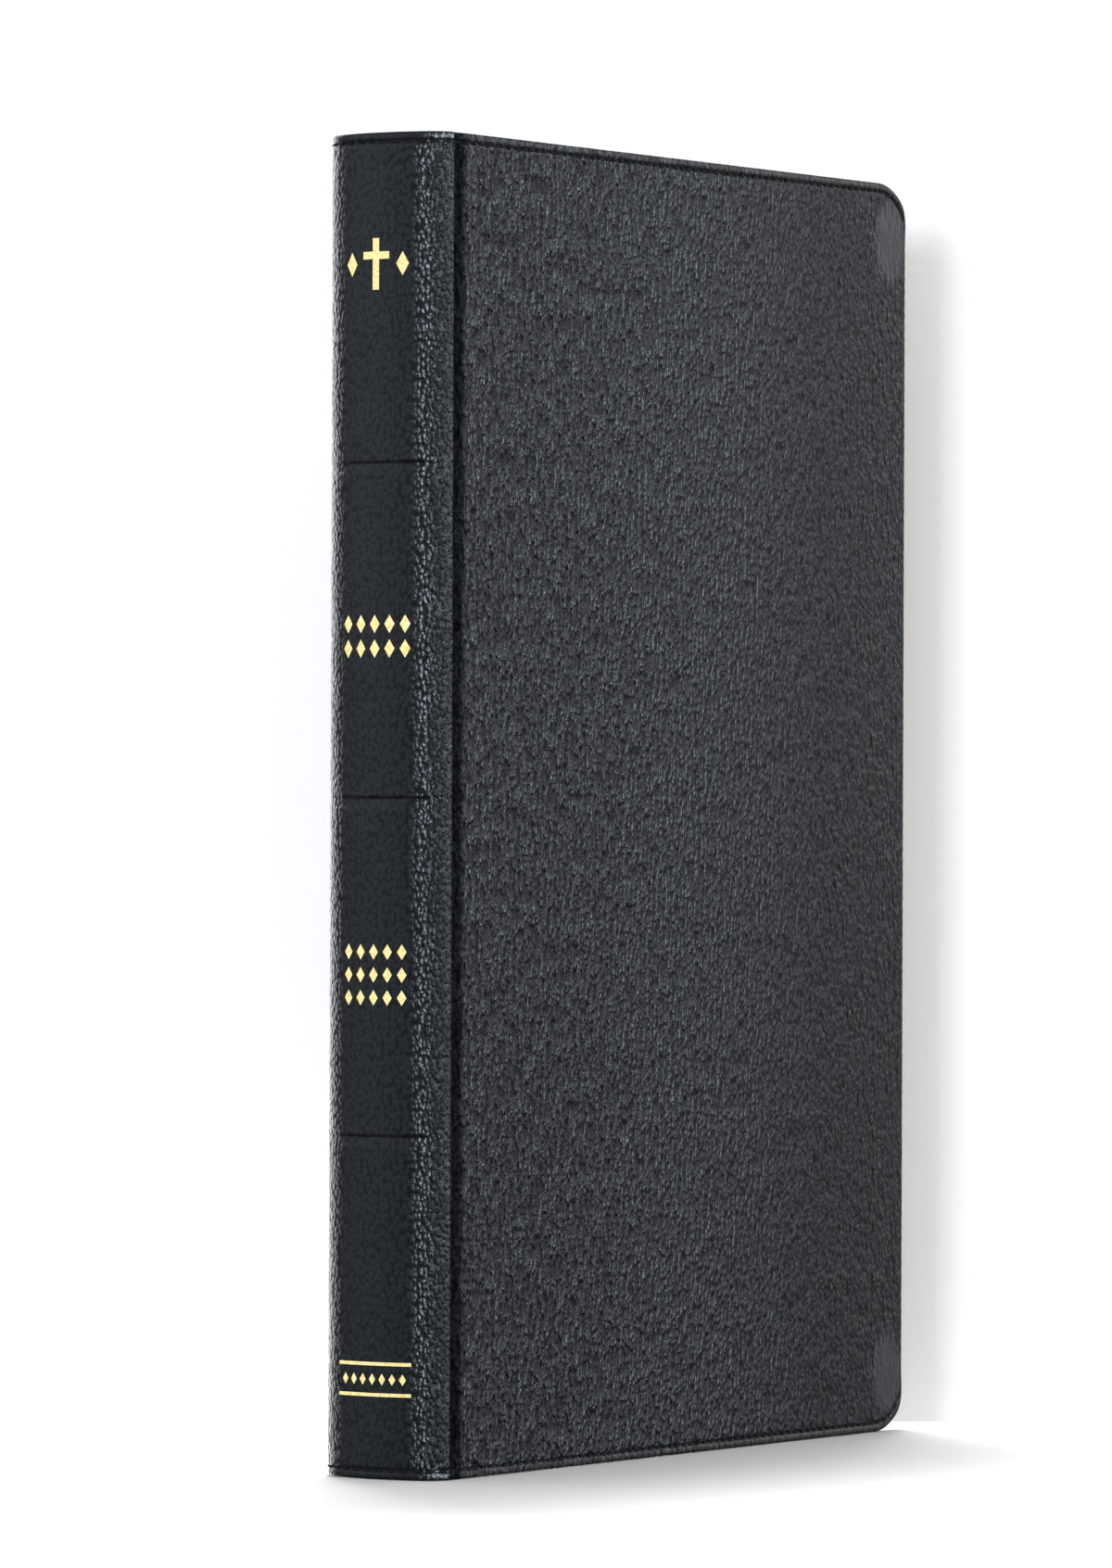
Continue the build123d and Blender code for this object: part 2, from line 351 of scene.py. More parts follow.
# The hem's section and the turned-in side's, in millimetres: (in from the edge, out
# from the skin)
hem_section = (
    (0.0, -0.5), (0.06, -0.26), (0.22, -0.08), (0.5, 0.02), (0.9, 0.07), (1.25, 0.02),
    (1.48, -0.14), (1.7, -0.34), (1.92, -0.14), (2.2, -0.01), (2.9, 0.0),
)
lined_section = (
    (0.0, -1.35), (0.1, -1.55), (0.35, -1.7), (2.95, -1.7), (3.0, -1.4), (11.9, -1.4), (12.0, -0.9),
)
corner_radius = 12.5 * mm

# The blind bands, in millimetres: places up the spine, their section (up from the
# middle, out) and how it fades (along from the spine's middle, share left)
band_heights = (59.0, 118.0, 176.5)
band_reach = 1.5
band_section = (
    (-1.5, 0.0), (-0.95, 0.02), (-0.7, -0.14), (-0.3, -0.2), (0.3, -0.22),
    (0.62, -0.34), (0.8, -0.3), (0.95, 0.03), (1.5, 0.0),
)
band_fade = ((0.0, 1.0), (9.0, 1.0), (13.5, 0.12), (14.7, 0.0))


def cut(bm, axis, places):
    """Cuts the flat blank across at each place along an axis."""
    normal = Vector((1, 0, 0)) if axis == 0 else Vector((0, 1, 0))
    for place in places:
        bmesh.ops.bisect_plane(
            bm, geom=bm.verts[:] + bm.edges[:] + bm.faces[:], dist=1e-7,
            plane_co=normal * place, plane_no=normal,
        )


def steps(start, stop, step):
    """Evenly spaced places from start to stop."""
    count = max(1, round((stop - start) / step))
    return [start + (stop - start) * i / count for i in range(count + 1)]


blank = bmesh.new()
edge_points = [(-fore_s, high.z), (fore_s, high.z), (fore_s, low.z), (-fore_s, low.z)]
edge_out = lined_section[0][1] * mm
blank.faces.new([blank.verts.new((s, z, edge_out)) for s, z in edge_points])
bmesh.ops.bevel(
    blank, geom=blank.verts[:], offset=corner_radius, offset_type="OFFSET",
    segments=14, profile=0.5, material=-1, affect="VERTICES",
)
inner_face = blank.faces[:][0]
grown = bmesh.ops.extrude_face_region(blank, geom=[inner_face], use_keep_orig=True)
outer_face = [part for part in grown["geom"] if isinstance(part, bmesh.types.BMFace)][0]
edge_lift = hem_section[0][1] * mm - edge_out
bmesh.ops.translate(blank, verts=outer_face.verts, vec=(0, 0, edge_lift))
bmesh.ops.recalc_face_normals(blank, faces=blank.faces)
for start_face, section, way in ((outer_face, hem_section, 1), (inner_face, lined_section, -1)):
    for (e0, d0), (e1, d1) in zip(section, section[1:]):
        bmesh.ops.inset_region(
            blank, faces=[start_face], thickness=(e1 - e0) * mm, depth=way * (d1 - d0) * mm,
            use_even_offset=True, use_boundary=True,
        )
cover_s = hinge_s + cover_start
bent_s = cover_s + cover_bend
roll_s = fore_s - 12 * mm
wide_step = 7 * mm
spine_columns = steps(-crown_length, crown_length, 1.2 * mm)
for side in (-1, 1):
    spine_columns += [side * s for s in steps(crown_length, hinge_s, 0.55 * mm)]
joint_columns = steps(hinge_s, cover_s, joint_step / 4)
bend_columns = steps(cover_s, bent_s, 0.25 * mm)
cover_columns = steps(bent_s, roll_s, wide_step)
roll_columns = steps(roll_s, fore_s - 0.6 * mm, 0.8 * mm)
side_columns = joint_columns[1:] + bend_columns[1:] + cover_columns[1:] + roll_columns[1:]
cut(blank, 0, spine_columns + side_columns + [-s for s in side_columns])
band_rows = [(at + up) * mm for at in band_heights for up, _ in band_section]
cut(blank, 1, steps(2 * wide_step, high.z - 2 * wide_step, wide_step) + band_rows)
bmesh.ops.remove_doubles(blank, verts=blank.verts, dist=1e-6)
for vert in blank.verts:
    s, z, out = vert.co
    if out > -skin / 2:
        for at in band_heights:
            if abs(z / mm - at) < band_reach:
                raised = along(band_section, z / mm - at) * mm
                vert.co.z += raised * along(band_fade, abs(s) / mm)
blank_uv = blank.loops.layers.uv.new("blank")
for face in blank.faces:
    for loop in face.loops:
        loop[blank_uv].uv = loop.vert.co.xy


def texture(tree, kind, vector, scale, **settings):
    """A procedural texture node on a vector, at a scale."""
    node = tree.nodes.new(kind)
    tree.links.new(vector, node.inputs["Vector"])
    node.inputs["Scale"].default_value = scale
    for name, value in settings.items():
        if hasattr(node, name):
            setattr(node, name, value)
        else:
            node.inputs[name.replace("_", " ").title()].default_value = value
    return node


def stretched(tree, vector, scale):
    """The vector with each axis scaled on its own."""
    node = tree.nodes.new("ShaderNodeVectorMath")
    node.operation = "MULTIPLY"
    tree.links.new(vector, node.inputs[0])
    node.inputs[1].default_value = scale
    return node.outputs["Vector"]


def blended(tree, factor, a, b):
    """Two colours mixed by a factor."""
    node = tree.nodes.new("ShaderNodeMix")
    node.data_type = "RGBA"
    if isinstance(factor, (int, float)):
        node.inputs["Factor"].default_value = factor
    else:
        tree.links.new(factor, node.inputs["Factor"])
    for name, value in (("A", a), ("B", b)):
        slot = [s for s in node.inputs if s.name == name and s.type == "RGBA"][0]
        if isinstance(value, tuple):
            slot.default_value = value
        else:
            tree.links.new(value, slot)
    return [s for s in node.outputs if s.type == "RGBA"][0]


def bumped(tree, shader, height, lift):
    """Gives a shader the relief of a height, and its Bump node."""
    bump = tree.nodes.new("ShaderNodeBump")
    bump.inputs["Distance"].default_value = lift
    tree.links.new(height, bump.inputs["Height"])
    tree.links.new(bump.outputs["Normal"], shader.inputs["Normal"])
    return bump


# Goatskin: pebbles about a millimetre across, with finer pores on them, boarded so
# that the grain runs up the covers. It is deeper near the joint, and smoother on the
# spine's flat, towards the fore-edge and at the pressed corners
goatskin, skin_tree, skin_shader = new_material("black_goatskin")
skin_uv = skin_tree.nodes.new("ShaderNodeUVMap")
skin_uv.uv_map = "blank"
skin_place = skin_uv.outputs["UV"]
flat_place = skin_tree.nodes.new("ShaderNodeSeparateXYZ")
skin_tree.links.new(skin_place, flat_place.inputs["Vector"])


def skin_maths(operation, *values):
    """A Math node in the goatskin, and its output."""
    return socket_maths(skin_tree, operation, *values)


def skin_range(value, *limits):
    """A smooth Map Range in the goatskin, and its output."""
    return ranged(skin_tree, value, *limits)


def skin_noise(vector, scale, **settings):
    """A flat noise in the goatskin."""
    return texture(
        skin_tree, "ShaderNodeTexNoise", vector, scale, noise_dimensions="2D", **settings,
    )


from_middle = skin_maths("ABSOLUTE", flat_place.outputs["X"])
up = flat_place.outputs["Y"]
from_half_way = skin_maths("ABSOLUTE", skin_maths("SUBTRACT", up, high.z / 2))
to_edge = skin_maths("SUBTRACT", high.z / 2, from_half_way)
on_cover = skin_range(from_middle, hinge_s, hinge_s + 2 * mm, 0.0, 1.0)

# The textures
wander_reach = 0.6 * mm
wander = skin_noise(skin_place, 900, Detail=2)
wandered = skin_tree.nodes.new("ShaderNodeVectorMath")
wandered.operation = "MULTIPLY_ADD"
skin_tree.links.new(wander.outputs["Color"], wandered.inputs[0])
wandered.inputs[1].default_value = (wander_reach, wander_reach, 0)
skin_tree.links.new(stretched(skin_tree, skin_place, (1.2, 0.8, 1)), wandered.inputs[2])
grain_place = wandered.outputs["Vector"]
spine_pebble, cover_pebble = (
    texture(
        skin_tree, "ShaderNodeTexVoronoi", grain_place, scale, voronoi_dimensions="2D",
    ).outputs["Distance"]
    for scale in (1120, 930)
)
pebble_step = skin_maths("SUBTRACT", cover_pebble, spine_pebble)
from_pebble = skin_maths("MULTIPLY_ADD", pebble_step, on_cover, spine_pebble)
wrinkles = skin_noise(
    grain_place, 620, noise_type="RIDGED_MULTIFRACTAL", Detail=3, Roughness=0.5,
).outputs["Fac"]
pores = skin_noise(grain_place, 3200, Detail=2, Roughness=0.6).outputs["Fac"]
patches = skin_noise(skin_place, 160, Detail=3).outputs["Fac"]
board_place = stretched(skin_tree, skin_place, (1, 0.32, 1))
boarding = skin_noise(board_place, 900, Detail=1).outputs["Fac"]
boarding = skin_maths("MULTIPLY", boarding, on_cover)

# The corners are pressed smooth, in an oval: (in from the fore-edge, in from the end)
pressed_middle = (8.5 * mm, 11 * mm)
pressed_size = (6.2 * mm, 9 * mm)
corner_along = skin_maths("SUBTRACT", from_middle, fore_s - pressed_middle[0])
corner_up = skin_maths("SUBTRACT", from_half_way, high.z / 2 - pressed_middle[1])
corner_far = skin_maths(
    "ADD",
    skin_maths("POWER", skin_maths("DIVIDE", corner_along, pressed_size[0]), 2),
    skin_maths("POWER", skin_maths("DIVIDE", corner_up, pressed_size[1]), 2),
)
pressed_corner = skin_range(corner_far, 0.05, 1.25, 1.0, 0.0)

# The relief: how high each part of the grain stands, and how much of it is left
dome = skin_range(from_pebble, -0.45, 0.8, 1.0, 0.0)
crease_depth = skin_range(from_pebble, 0.38, 0.66, 1.0, 0.0)
wrinkle_height = skin_range(wrinkles, 0.3, 1.3, 0.0, 1.0)
relief = dome
for layer, height in ((wrinkle_height, 0.35), (pores, 0.22), (boarding, 2.2)):
    relief = skin_maths("MULTIPLY_ADD", layer, height, relief)
edge_calm = skin_range(from_middle, 30 * mm, fore_s, 1.0, 0.34)
spine_calm = skin_range(from_middle, 6 * mm, 10.5 * mm, 0.15, 0.65)
cover_rough = skin_range(from_middle, hinge_s + 2 * mm, hinge_s + 8 * mm, 0.0, 0.2)
calm = skin_maths("MULTIPLY", edge_calm, skin_maths("ADD", spine_calm, cover_rough))
for share in (
    skin_range(patches, 0.3, 0.7, 0.9, 1.05),
    skin_range(pressed_corner, 0.0, 1.0, 1.0, 0.22),
    skin_range(to_edge, 1.5 * mm, 2.6 * mm, 0.35, 1.0),
):
    calm = skin_maths("MULTIPLY", calm, share)
skin_bump = bumped(skin_tree, skin_shader, relief, 1.1 * mm)
skin_tree.links.new(calm, skin_bump.inputs["Strength"])

# The colour: near black, a little lighter on the pebbles with painted shade darkening the creases,
# and bluer at the corners
crease_shade_colour, pebble_colour = (0.0016, 0.0018, 0.0021, 1), (0.0050, 0.0058, 0.0068, 1)
corner_colour = (0.016, 0.018, 0.024, 1)
# painted shade: the creases take the darker colour
crease_shaded_colour = blended(skin_tree, crease_depth, crease_shade_colour, pebble_colour)
crease_shaded_colour = blended(skin_tree, skin_maths("MULTIPLY", pressed_corner, 0.8), crease_shaded_colour, corner_colour)
skin_tree.links.new(crease_shaded_colour, skin_shader.inputs["Base Color"])
skin_rough = skin_range(patches, 0.25, 0.75, 0.27, 0.35)
skin_tree.links.new(skin_rough, skin_shader.inputs["Roughness"])

# The sheen, with painted shade and light in it: less in the creases, between the rows of the
# boarding, in the joint and towards the fore-edge as painted shade, and less lower down as painted
# light from above
# painted shade: the sheen drops in the creases
crease_painted_shade = skin_maths("SUBTRACT", 1.0, crease_depth)
crease_painted_shade = skin_maths("MULTIPLY", crease_painted_shade, skin_range(calm, 0.0, 0.55, 0.06, 0.32))
crease_painted_shade = skin_maths("MULTIPLY", crease_painted_shade, skin_range(on_cover, 0.0, 1.0, 1.0, 0.8))
skin_gloss = skin_maths("SUBTRACT", 0.54, crease_painted_shade)
# painted shade: the sheen drops between the rows of the boarding
board_gloss = skin_maths("MULTIPLY", skin_range(boarding, 0.35, 0.65, -0.6, 0.2), on_cover)
board_gloss = skin_maths("MULTIPLY", board_gloss, edge_calm)
skin_gloss = skin_maths("MULTIPLY_ADD", skin_gloss, board_gloss, skin_gloss)
# painted shade: the sheen drops to a little in the joint's groove
past_joint = skin_range(from_middle, hinge_s + 2.6 * mm, hinge_s + 6 * mm, 0.0, 0.93)
before_joint = skin_range(from_middle, hinge_s - 0.4 * mm, hinge_s + 0.3 * mm, 0.93, 0.0)
joint_painted_shade = skin_maths("ADD", skin_maths("ADD", past_joint, before_joint), 0.07)
for share in (
    joint_painted_shade,
    # painted shade: the sheen fades towards the fore-edge
    skin_range(from_middle, 20 * mm, 150 * mm, 1.04, 0.46),
    skin_range(on_cover, 0.0, 1.0, 1.0, 0.84),
    # painted light from above: the sheen rises towards the head
    skin_range(up, 0.0, high.z, 0.84, 1.08),
):
    skin_gloss = skin_maths("MULTIPLY", skin_gloss, share)
skin_tree.links.new(skin_gloss, skin_shader.inputs["Specular IOR Level"])
skin_shader.inputs["Specular Tint"].default_value = (0.74, 0.87, 1.0, 1)

# The blank is parted at the joints, into the spine's piece and, on each side, two joint strips and
# a cover piece
cover_reach = (cover_s, fore_s + 1)
inner_joint = (hinge_s, hinge_s + joint_step)
outer_joint = (hinge_s + joint_step, cover_s)


def from_blank(name, reach):
    """The stretch of the wrapped blank between two places along it."""
    part = blank.copy()
    away = [f for f in part.faces if not reach[0] < f.calc_center_median().x < reach[1]]
    bmesh.ops.delete(part, geom=away, context="FACES")
    rim = [e for e in part.edges if e.is_boundary]
    bmesh.ops.holes_fill(part, edges=rim, sides=0)
    for edge in rim:
        edge.smooth = False
    wrap_all(part)
    piece = finish_mesh(part, name, [goatskin])
    return piece


spine_leather = from_blank("spine_leather_case", (-hinge_s, hinge_s))
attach(spine_leather, "spine")
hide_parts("spine_leather")

for side, way in (("front", 1), ("back", -1)):
    for name, reach, bodies, begins in (
        ("joint_leather_inner", inner_joint, ("spine", f"{side}_inner_pages"), 0.0),
        (
            "joint_leather_outer", outer_joint,
            (f"{side}_inner_pages", f"{side}_outer_pages"), joint_step,
        ),
        (
            "cover_leather_case", cover_reach,
            (f"{side}_outer_pages", f"{side}_cover"), cover_start,
        ),
    ):
        span = reach if way > 0 else (-reach[1], -reach[0])
        leather_piece = from_blank(f"{side}_{name}", span)
        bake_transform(leather_piece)
    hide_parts(f"{side}_cover_leather")
blank.free()

# ---------------------------------------------------------------------------
# The hem stitching: black waxed thread in lock stitches, sunk in the hem's groove
# round both covers and across the head and tail of the spine.
# ---------------------------------------------------------------------------
stitch_pitch = 2.3 * mm
stitch_size = (0.86 * mm, 0.25 * mm, 0.2 * mm)
hem_in = 1.7 * mm
thread_depth = 0.17 * mm

waxed_thread, thread_tree, thread_shader = new_material("black_waxed_thread")
thread_place = thread_tree.nodes.new("ShaderNodeTexCoord")
twist = texture(
    thread_tree, "ShaderNodeTexWave", thread_place.outputs["Object"], 2600, Distortion=1.5,
)
bumped(thread_tree, thread_shader, twist.outputs["Fac"], 0.03 * mm)
thread_dark, thread_light = (0.004, 0.004, 0.005, 1), (0.012, 0.012, 0.014, 1)
thread_colour = blended(thread_tree, twist.outputs["Fac"], thread_dark, thread_light)
thread_tree.links.new(thread_colour, thread_shader.inputs["Base Color"])
thread_shader.inputs["Roughness"].default_value = 0.8
thread_shader.inputs["Specular IOR Level"].default_value = 0.1


def hem_walk(distance):
    """The stitch line's place and heading, a distance from the middle of the spine's head."""
    turn_radius = corner_radius - hem_in
    straight = fore_s - corner_radius
    down = high.z - 2 * corner_radius
    bend = turn_radius * math.pi / 2
    if distance <= straight:
        return Vector((distance, high.z - hem_in)), 0.0
    distance -= straight
    if distance <= bend:
        turn = distance / turn_radius
        centre = Vector((straight, high.z - corner_radius))
        return centre + Vector((math.sin(turn), math.cos(turn))) * turn_radius, -turn
    distance -= bend
    if distance <= down:
        return Vector((fore_s - hem_in, high.z - corner_radius - distance)), -math.pi / 2
    distance -= down
    if distance <= bend:
        turn = math.pi / 2 + distance / turn_radius
        centre = Vector((straight, corner_radius))
        return centre + Vector((math.sin(turn), math.cos(turn))) * turn_radius, -turn
    return Vector((straight - (distance - bend), hem_in)), -math.pi


def sew(bm, first, last):
    """Stitches along the hem between two distances from the middle of the spine's head."""
    count = round((last - first) / stitch_pitch)
    pitch = (last - first) / count
    for index in range(count):
        spot, heading = hem_walk(first + (index + 0.5) * pitch)
        made = bmesh.ops.create_uvsphere(bm, u_segments=8, v_segments=5, radius=1)["verts"]
        bmesh.ops.scale(bm, verts=made, vec=stitch_size)
        turned = Matrix.Rotation(heading, 3, "Z")
        bmesh.ops.rotate(bm, verts=made, cent=(0, 0, 0), matrix=turned)
        bmesh.ops.translate(bm, verts=made, vec=(spot.x, spot.y, -thread_depth))


corner_walk = (corner_radius - hem_in) * math.pi / 2
walk_length = 2 * (fore_s - corner_radius) + 2 * corner_walk + high.z - 2 * corner_radius
bm = bmesh.new()
sew(bm, 0, hinge_s)
sew(bm, walk_length - hinge_s, walk_length)
half_row = bm.verts[:] + bm.edges[:] + bm.faces[:]
bmesh.ops.mirror(bm, geom=half_row, axis="X", merge_dist=0)
bmesh.ops.recalc_face_normals(bm, faces=bm.faces)
wrap_all(bm)
spine_thread = finish_mesh(bm, "spine_hem_stitches", [waxed_thread])
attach(spine_thread, "spine")
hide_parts("spine_head_thread", "spine_tail_thread")
for side, way in (("front", 1), ("back", -1)):
    bm = bmesh.new()
    sew(bm, cover_s, walk_length - cover_s)
    bmesh.ops.scale(bm, verts=bm.verts, vec=(way, 1, 1))
    bmesh.ops.recalc_face_normals(bm, faces=bm.faces)
    wrap_all(bm)
    cover_thread = finish_mesh(bm, f"{side}_cover_hem_stitches", [waxed_thread])
    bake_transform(cover_thread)
    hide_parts(f"{side}_cover_thread")

# ---------------------------------------------------------------------------
# The gilt tooling: gold foil pressed hot into the spine, in plain marks of the
# binder's own: a cross between lozenges, rows of lozenges, and rules at the foot.
# ---------------------------------------------------------------------------
gold_foil, gold_tree, gold_shader = new_material("pressed_gold_foil")
gold_place = gold_tree.nodes.new("ShaderNodeTexCoord")
foil_wear = texture(gold_tree, "ShaderNodeTexNoise", gold_place.outputs["Object"], 2200, Detail=4)
foil_tone = ranged(gold_tree, foil_wear.outputs["Fac"], 0.35, 0.65, 0.0, 1.0)
foil_colour = blended(gold_tree, foil_tone, (0.80, 0.58, 0.20, 1), (1.0, 0.88, 0.45, 1))
gold_tree.links.new(foil_colour, gold_shader.inputs["Base Color"])
gold_shader.inputs["Metallic"].default_value = 0.3
gold_shader.inputs["Roughness"].default_value = 0.42
bumped(gold_tree, gold_shader, foil_wear.outputs["Fac"], 0.05 * mm)
foil_lift = 0.03 * mm
foil_thick = 0.08 * mm
foil_reach = 9 * mm
foil_strip = 1.0 * mm


def mark(bm, outline):
    """One flat mark on the blank, from its outline in millimetres."""
    bm.faces.new([bm.verts.new((s * mm, z * mm, 0)) for s, z in outline])


def lozenge(bm, s, z, wide, tall):
    """A pointed mark."""
    mark(bm, ((s - wide / 2, z), (s, z - tall / 2), (s + wide / 2, z), (s, z + tall / 2)))


def bar(bm, s, z, wide, tall):
    """A straight mark."""
    mark(bm, (
        (s - wide / 2, z - tall / 2), (s + wide / 2, z - tall / 2),
        (s + wide / 2, z + tall / 2), (s - wide / 2, z + tall / 2),
    ))


def press(bm, name, node):
    """Cuts the marks into strips, raises the foil's face and wraps it round the spine."""
    cut(bm, 0, steps(-foil_reach, foil_reach, foil_strip))
    bmesh.ops.recalc_face_normals(bm, faces=bm.faces)
    for face in bm.faces:
        if face.normal.z < 0:
            face.normal_flip()
    bmesh.ops.solidify(bm, geom=bm.faces[:], thickness=foil_thick)
    top = max(v.co.z for v in bm.verts)
    bmesh.ops.translate(bm, verts=bm.verts, vec=(0, 0, foil_lift - top))
    bmesh.ops.recalc_face_normals(bm, faces=bm.faces)
    wrap_all(bm)
    foil = finish_mesh(bm, name, [gold_foil], smooth=False)
    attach(foil, "spine")
    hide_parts(node)


bm = bmesh.new()
bar(bm, 0, 212, 1.3, 9.0)
bar(bm, -1.675, 213.5, 2.05, 1.3)
bar(bm, 1.675, 213.5, 2.05, 1.3)
for s in (-5.3, 5.3):
    lozenge(bm, s, 212, 2.4, 4.2)
press(bm, "spine_gilt_cross", "gilt_cross")

bm = bmesh.new()
for z in (149.2, 144.9):
    for index in range(-2, 3):
        lozenge(bm, index * 3.0, z, 2.0, 3.2)
press(bm, "spine_gilt_upper_rows", "gilt_upper_rows")

bm = bmesh.new()
for z in (92.0, 88.0, 84.0):
    for index in range(-2, 3):
        lozenge(bm, index * 2.8, z, 1.8, 2.7)
press(bm, "spine_gilt_lower_rows", "gilt_lower_rows")

bm = bmesh.new()
for z in (14.8, 20.2):
    bar(bm, 0, z, 15.2, 0.6)
for index in range(-3, 4):
    lozenge(bm, index * 2.0, 17.5, 1.3, 2.0)
press(bm, "spine_gilt_foot_rules", "gilt_foot_rules")

# ---------------------------------------------------------------------------
# The pages: sixteen sections of thin paper, folded, sewn and rounded, with rounded
# fore-edge corners and gilt edges. Each one is cut in narrow strips at the gutter, where it is
# sewn.
# ---------------------------------------------------------------------------
bible_paper, paper_tree, paper_shader = new_material("printed_bible_paper")
paper_uv = paper_tree.nodes.new("ShaderNodeUVMap")
paper_uv.uv_map = "leaf"
paper_place = paper_tree.nodes.new("ShaderNodeSeparateXYZ")
paper_tree.links.new(paper_uv.outputs["UV"], paper_place.inputs["Vector"])
paper_y, paper_z = paper_place.outputs["X"], paper_place.outputs["Y"]
page_y0, page_y1 = hinge_y + 16 * mm, high.y - 14 * mm
page_z0, page_z1 = 17 * mm, high.z - 19 * mm
column_gap = 5 * mm
column_wide = (page_y1 - page_y0 - column_gap) / 2
line_pitch = 3.1 * mm


def inside(tree, value, start, stop):
    """1 between two places, else 0."""
    above = socket_maths(tree, "GREATER_THAN", value, start)
    below = socket_maths(tree, "LESS_THAN", value, stop)
    return socket_maths(tree, "MULTIPLY", above, below)


in_columns = socket_maths(
    paper_tree, "ADD", inside(paper_tree, paper_y, page_y0, page_y0 + column_wide),
    inside(paper_tree, paper_y, page_y1 - column_wide, page_y1),
)
in_rows = inside(paper_tree, paper_z, page_z0, page_z1)
line_count = socket_maths(paper_tree, "DIVIDE", paper_z, line_pitch)
on_line = inside(paper_tree, socket_maths(paper_tree, "FRACT", line_count), 0.3, 0.72)
line_index = socket_maths(paper_tree, "FLOOR", line_count)
word_vector = paper_tree.nodes.new("ShaderNodeCombineXYZ")
paper_tree.links.new(paper_y, word_vector.inputs["X"])
line_shift = socket_maths(paper_tree, "MULTIPLY", line_index, 0.037)
paper_tree.links.new(line_shift, word_vector.inputs["Y"])
words = texture(
    paper_tree, "ShaderNodeTexNoise", word_vector.outputs["Vector"], 420,
    noise_dimensions="2D", Detail=1,
)
word_ink = ranged(paper_tree, words.outputs["Fac"], 0.40, 0.46, 0.0, 1.0)
ink_strength = 0.62
ink = in_columns
for share in (in_rows, on_line, word_ink, ink_strength):
    ink = socket_maths(paper_tree, "MULTIPLY", ink, share)
paper_fibre = texture(
    paper_tree, "ShaderNodeTexNoise", paper_uv.outputs["UV"], 700, noise_dimensions="2D", Detail=5,
)
paper_dark, paper_light = (0.56, 0.53, 0.46, 1), (0.63, 0.60, 0.53, 1)
paper_tone = blended(paper_tree, paper_fibre.outputs["Fac"], paper_dark, paper_light)
paper_colour = blended(paper_tree, ink, paper_tone, (0.05, 0.05, 0.055, 1))
paper_tree.links.new(paper_colour, paper_shader.inputs["Base Color"])
paper_shader.inputs["Roughness"].default_value = 0.75

gilt_edge, edge_tree, edge_shader = new_material("gilt_page_edge")
edge_place = edge_tree.nodes.new("ShaderNodeTexCoord")
leaf_place = stretched(edge_tree, edge_place.outputs["Object"], (1, 0.012, 0.012))
leaf_lines = texture(edge_tree, "ShaderNodeTexNoise", leaf_place, 9000, Detail=3, Roughness=0.7)
smear_place = stretched(edge_tree, edge_place.outputs["Object"], (1, 0.1, 0.1))
edge_smear = texture(edge_tree, "ShaderNodeTexNoise", smear_place, 260, Detail=3)
edge_tone = ranged(edge_tree, leaf_lines.outputs["Fac"], 0.3, 0.7, 0.0, 1.0)
edge_colour = blended(edge_tree, edge_tone, (0.42, 0.29, 0.11, 1), (0.74, 0.57, 0.27, 1))
edge_tree.links.new(edge_colour, edge_shader.inputs["Base Color"])
edge_shader.inputs["Metallic"].default_value = 0.85
edge_rough = ranged(edge_tree, edge_smear.outputs["Fac"], 0.3, 0.7, 0.28, 0.48)
edge_tree.links.new(edge_rough, edge_shader.inputs["Roughness"])
bumped(edge_tree, edge_shader, leaf_lines.outputs["Fac"], 0.04 * mm)

page_corner = 8 * mm
gutter = 3 * mm
inner_bend = 4 * mm


def leaves(name, node, root, stop, columns, materials):
    """A flat stack of leaves where a CAD node is, from root to stop, cut at some columns."""
    (x0, y0, z0), (x1, y1, z1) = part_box(node)
    stop = min(stop, y1)
    bm = bmesh.new()
    bottom, top = [(root, z0), (stop, z0)], [(stop, z1), (root, z1)]
    corners = [bm.verts.new((x0, y, z)) for y, z in bottom + top]
    bm.faces.new(corners)
    if stop == y1:
        bmesh.ops.bevel(
            bm, geom=corners[1:3], offset=page_corner, offset_type="OFFSET",
            segments=8, profile=0.5, material=-1, affect="VERTICES",
        )
    for place in columns:
        bmesh.ops.bisect_plane(
            bm, geom=bm.verts[:] + bm.edges[:] + bm.faces[:], dist=1e-7,
            plane_co=(0, place, 0), plane_no=(0, 1, 0),
        )
    thicken(bm, (x1 - x0, 0, 0))
    bmesh.ops.recalc_face_normals(bm, faces=bm.faces)
    leaf_uv = bm.loops.layers.uv.new("leaf")
    for face in bm.faces:
        face.material_index = 0 if abs(face.normal.x) > 0.9 else 1
        for loop in face.loops:
            loop[leaf_uv].uv = loop.vert.co.yz
    return finish_mesh(bm, name, materials, smooth=False)


gutter_columns = steps(hinge_y, hinge_y + gutter, gutter / 8)
gutter_y = hinge_y + gutter
bend_places = steps(gutter_y, gutter_y + inner_bend, inner_bend / 10)
page_looks = [bible_paper, gilt_edge]
for side, inner, outer in (
    ("front", range(5, 9), range(1, 5)),
    ("back", range(9, 13), range(13, 17)),
):
    for number in inner:
        node = f"page_section_{number:02d}"
        pages = leaves(f"pages_{number:02d}", node, hinge_y, high.y, gutter_columns[1:], page_looks)
        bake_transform(pages)
        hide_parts(node)
    for number in outer:
        node = f"page_section_{number:02d}"
        sewn = leaves(
            f"pages_{number:02d}_gutter", node, hinge_y, gutter_y, gutter_columns[1:-1], page_looks,
        )
        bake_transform(sewn)
        pages = leaves(f"pages_{number:02d}", node, gutter_y, high.y, bend_places[1:], page_looks)
        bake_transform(pages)
        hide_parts(node)
